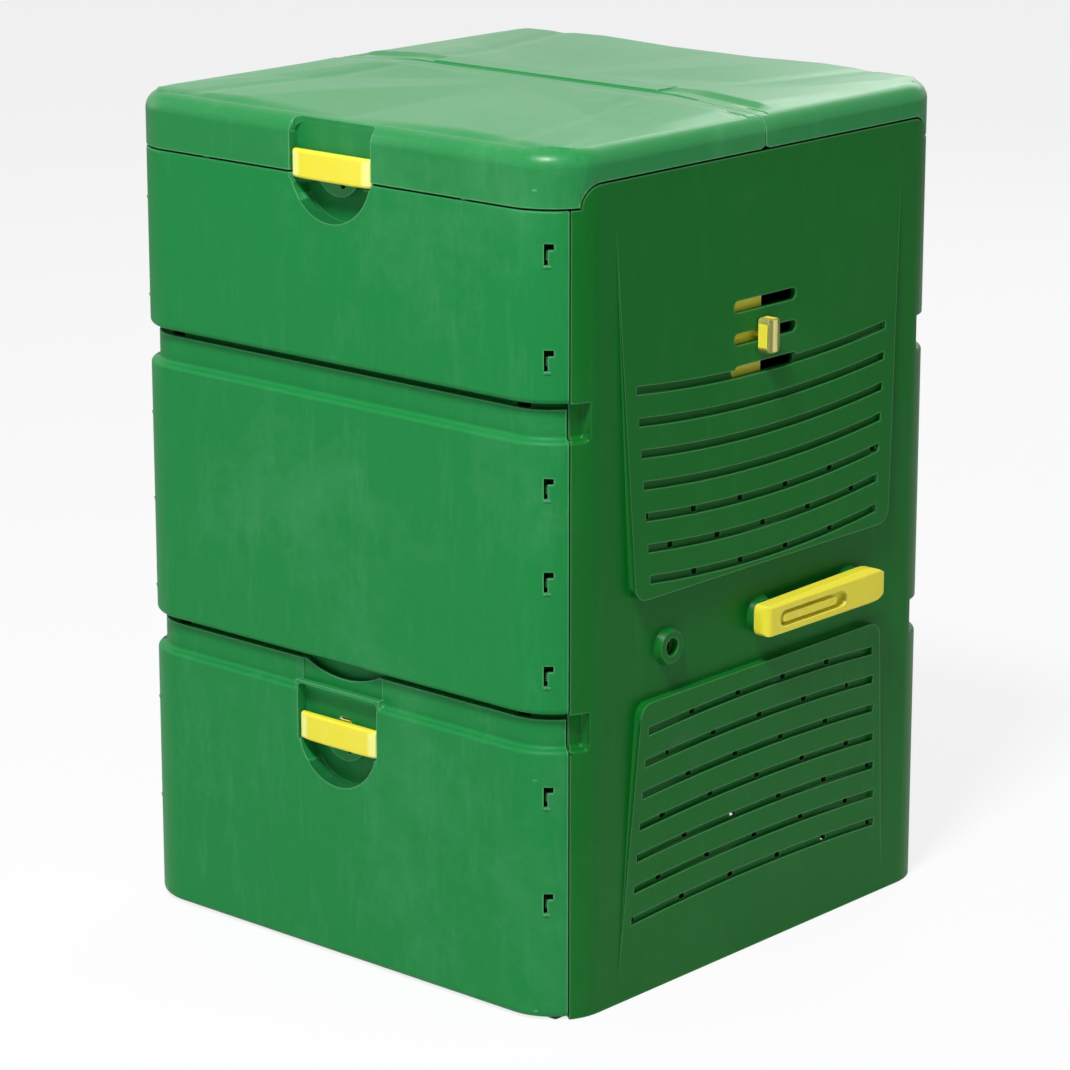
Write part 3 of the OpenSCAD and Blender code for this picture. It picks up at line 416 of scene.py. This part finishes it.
for face, front in (("front", -1), ("rear", 1)):
    cutter = block("scoop", scoop_half, [front * depth for depth in scoop_depths], scoop_heights)
    bpy.ops.object.mode_set(mode="EDIT")
    bpy.ops.mesh.select_all(action="DESELECT")
    bpy.ops.object.mode_set(mode="OBJECT")
    for side in cutter.data.edges:
        a, b = (cutter.data.vertices[i].co for i in side.vertices)
        side.select = abs(a.z - b.z) > 0.01 and abs(a.y) < 0.40
    bpy.ops.object.mode_set(mode="EDIT")
    bpy.ops.mesh.select_mode(type="EDGE")
    bpy.ops.mesh.bevel(offset=scoop_r, segments=8)
    bpy.ops.object.mode_set(mode="OBJECT")
    lid = moulding(face + "_lid", face + "_lid_shell", lid_green, cut=cutter, shaded=False,
                   bores=(lid_latch_pin,))
    bpy.ops.object.mode_set(mode="EDIT")
    bpy.ops.mesh.select_mode(type="FACE")
    bpy.ops.mesh.select_all(action="DESELECT")
    bpy.ops.object.mode_set(mode="OBJECT")
    for polygon in lid.data.polygons:
        x, y, z = polygon.center
        near_strip = front == 1 and abs(x) < strip_half and y < strip_y
        polygon.select = z > rim_z - 0.0012 and polygon.normal.z > 0.93 and not near_strip
    bpy.ops.object.mode_set(mode="EDIT")
    bpy.ops.mesh.hide(unselected=True)
    for step in range(-45, 46):
        bpy.ops.mesh.select_all(action="SELECT")
        bpy.ops.mesh.bisect(plane_co=(step * grid, 0, 0), plane_no=(1, 0, 0))
    for step in range(1, 49):
        bpy.ops.mesh.select_all(action="SELECT")
        bpy.ops.mesh.bisect(plane_co=(0, front * step * grid, 0), plane_no=(0, 1, 0))
    bpy.ops.mesh.select_all(action="SELECT")
    bpy.ops.object.mode_set(mode="OBJECT")
    for vertex in lid.data.vertices:
        x, y, z = vertex.co
        on_top = joint_y < front * y < lid_front - edge_band and abs(x) < lid_half - edge_band
        if vertex.select and not vertex.hide and on_top:
            vertex.co.z = min(top_z, max(crown(x, front * y) + fan(x, front * y), rim_z - 0.001))
    bpy.ops.object.mode_set(mode="EDIT")
    bpy.ops.mesh.reveal(select=False)
    bpy.ops.mesh.select_mode(type="VERT")
    bpy.ops.object.mode_set(mode="OBJECT")
    even_shading(lid)

# Snap feet: the small ledge under each snap tab of the corner bands, moulded with its panel in
# the same green. Each face has two rows of seven tabs, one row at each corner.
foot_deep, foot_wide, foot_high = 0.0034, 0.0092, 0.0034
foot_drop, foot_aside, foot_sunk, tab_turn = 0.0150, 0.0018, 0.0004, 38
foot = block("foot", foot_deep / 2, (-foot_wide / 2, foot_wide / 2), (-foot_high / 2, foot_high / 2))
edit_all()
bpy.ops.mesh.bevel(offset=0.0009, segments=2, profile=0.6)
bpy.ops.object.mode_set(mode="OBJECT")
for face, turn in (("front", 0), ("rear", 180)):
    for piece_name, body, heights in (("upper", "frame", (0.874, 1.008)),
                                      ("middle", "frame", (0.465, 0.5885, 0.710)),
                                      ("flap", face + "_flap", (0.160, 0.304))):
        bpy.ops.object.select_all(action="DESELECT")
        feet = []
        for side in (1, -1):
            for height in heights:
                one = bpy.data.objects.new("foot", foot.data.copy())
                bpy.context.collection.objects.link(one)
                place = (Matrix.Rotation(math.radians(turn), 4, "Z")
                         @ Matrix.Translation((side * corner_x, -corner_y, height - foot_drop))
                         @ Matrix.Rotation(math.radians(-90 + side * tab_turn), 4, "Z")
                         @ Matrix.Translation((corner_r - foot_sunk, -side * foot_aside, 0)))
                one.data.transform(place)
                one.select_set(True)
                feet.append(one)
        bpy.context.view_layer.objects.active = feet[0]
        bpy.ops.object.join()
        feet[0].name = feet[0].data.name = face + "_" + piece_name + "_snap_feet"
        bpy.ops.object.shade_smooth_by_angle(angle=math.radians(38))
        feet[0].data.materials.append(front_green)
        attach(feet[0], body)
bpy.data.objects.remove(foot)

# Latches: a slightly bulged bar in each lid and flap, moulded in yellow with round edges, hung
# on a steel pin, with its catch arm or noses behind it.
yellow = moulded("yellow", (0.85, 0.75, 0.040), (0.88, 0.81, 0.22),
                 roughness=0.36, dust=0.35, grain=0.08, gloss=0.25)
bar_x, bar_z, bar_front, bar_back = 0.0715, 0.019, 0.405, 0.3935
behind_bar, under_bar, squeeze_x, squeeze_z = 0.3925, 0.4025, 0.96, 0.82
arm_from, arm_to, arm_left = 0.345, 0.326, 0.08
bulge, end_round, bar_step = 0.001, 0.0035, 0.009
for where, front, middle in (("front_lid", -1, 1.075), ("rear_lid", 1, 1.075),
                             ("front_flap", -1, 0.313), ("rear_flap", 1, 0.313)):
    latch = moulding(where + "_latch", where + "_latch_moulding", yellow, shaded=False)
    for vertex in latch.data.vertices:
        if front * vertex.co.y > behind_bar:
            vertex.co.x *= squeeze_x
            vertex.co.z = middle + (vertex.co.z - middle) * squeeze_z
            vertex.co.y = front * min(front * vertex.co.y, under_bar)
        elif "flap" in where and vertex.co.z > arm_from:
            vertex.co.z = arm_to + (vertex.co.z - arm_from) * arm_left
    bar = block("latch_bar", bar_x, (front * bar_back, front * bar_front), (middle - bar_z, middle + bar_z))
    edit_all()
    bpy.ops.mesh.bevel(offset=0.0042, segments=4, profile=0.5)
    for step in range(-7, 8):
        bpy.ops.mesh.select_all(action="SELECT")
        bpy.ops.mesh.bisect(plane_co=(step * bar_step, 0, 0), plane_no=(1, 0, 0))
    bpy.ops.object.mode_set(mode="OBJECT")
    for vertex in bar.data.vertices:
        if front * vertex.co.y > 0.40:
            out = abs(vertex.co.x / bar_x)
            vertex.co.y += front * (bulge - bulge * out ** 2 - end_round * out ** 6)
    bar.data.materials.append(yellow)
    latch.select_set(True)
    bpy.context.view_layer.objects.active = latch
    bpy.ops.object.join()
    even_shading(latch)

# Vent slides: a flat plate behind the three slots of each side wall and the knob that moves it
# along them, both moulded in yellow. The knob's stem is pressed into the plate.
for hand in ("right", "left"):
    moulding("vent_knob_" + hand, hand + "_slide_knob", yellow, rounded=0.0016)
    moulding("vent_plate_" + hand, hand + "_slide_plate", yellow)

# Lever: one yellow moulding on the end of the middle shaft, rounded most at the shaft, with a
# grip rib in a long recess near the shaft end.
lever_foot, lever_back, lever_face, shaft_z, flatter = 0.4025, 0.4031, 0.425, 0.468, 0.87
as_solid = (-0.042, 0.020, 0.186, 0.234)
as_moulded = (-0.027, 0.002, 0.148, 0.234)
tail_r, tip_r = 0.014, 0.006
tail_cuts = (-0.041, -0.039, -0.036, -0.032, -0.026, -0.020, -0.012)
tip_cuts = (0.2285, 0.231, 0.2325, 0.2335)


def round_end(x, from_end, radius):
    """How far out the lever reaches near a rounded end."""
    if from_end < radius:
        x = min(x, lever_face - radius + math.sqrt(radius ** 2 - (radius - from_end) ** 2))
    return x


lever = moulding("lever", "grate_lever", yellow, shaded=False)
bpy.ops.object.mode_set(mode="EDIT")
for place in tail_cuts + tip_cuts:
    bpy.ops.mesh.select_all(action="SELECT")
    bpy.ops.mesh.bisect(plane_co=(0, place, 0), plane_no=(0, 1, 0))
bpy.ops.object.mode_set(mode="OBJECT")
for vertex in lever.data.vertices:
    x, y, z = vertex.co
    if x > lever_foot:
        k = 0 if y < as_solid[1] else 1 if y < as_solid[2] else 2
        part = (y - as_solid[k]) / (as_solid[k + 1] - as_solid[k])
        y = as_moulded[k] + part * (as_moulded[k + 1] - as_moulded[k])
        x = round_end(x, max(0, y - as_moulded[0]), tail_r)
        x = round_end(x, max(0, as_moulded[3] - y), tip_r)
        vertex.co = (max(x, lever_back), y, shaft_z + (z - shaft_z) * flatter)
even_shading(lever)


# Inner pieces: the ridge beam that carries the lids, and the slats and ledges of the grate,
# moulded in plain dark green that is never polished; scratched by the compost.
def dress(names, mat):
    """Give solids that are shown as they are their material."""
    for name in names:
        nodes[name].data.materials.clear()
        nodes[name].data.materials.append(mat)


inner_green = moulded("inner_green", (0.008, 0.085, 0.016), (0.05, 0.10, 0.04),
                      roughness=0.55, dust=0.6, grain=0.3)
dress(("ridge_beam", "front_slat", "middle_slat", "rear_slat", "front_ledge", "rear_ledge"), inner_green)

# Pins, rods and link bar: cut from drawn steel, with fine lines along them from the drawing.
# Pins and rods run through eyes and bores of the mouldings; the link bar joins the three slats.
steel = bpy.data.materials.new("steel")
steel.use_nodes = True
tree = steel.node_tree
shader = tree.nodes["Principled BSDF"]
shader.inputs["Metallic"].default_value = 1
place = tree.nodes.new("ShaderNodeTexCoord").outputs["Object"]
drawn = noise(tree, stretched(tree, place, (3, 400, 400)), 1)
tree.links.new(mixed(tree, drawn, (0.48, 0.49, 0.51), (0.62, 0.62, 0.63)), shader.inputs["Base Color"])
tree.links.new(spread(tree, drawn, low=0.25, high=0.5), shader.inputs["Roughness"])
dress(("front_flap_pins", "rear_flap_pins", "front_flap_latch_pin", "rear_flap_latch_pin", "front_lid_rod",
       "rear_lid_rod", "front_lid_latch_pin", "rear_lid_latch_pin", "link_bar", "lever_pin"), steel)
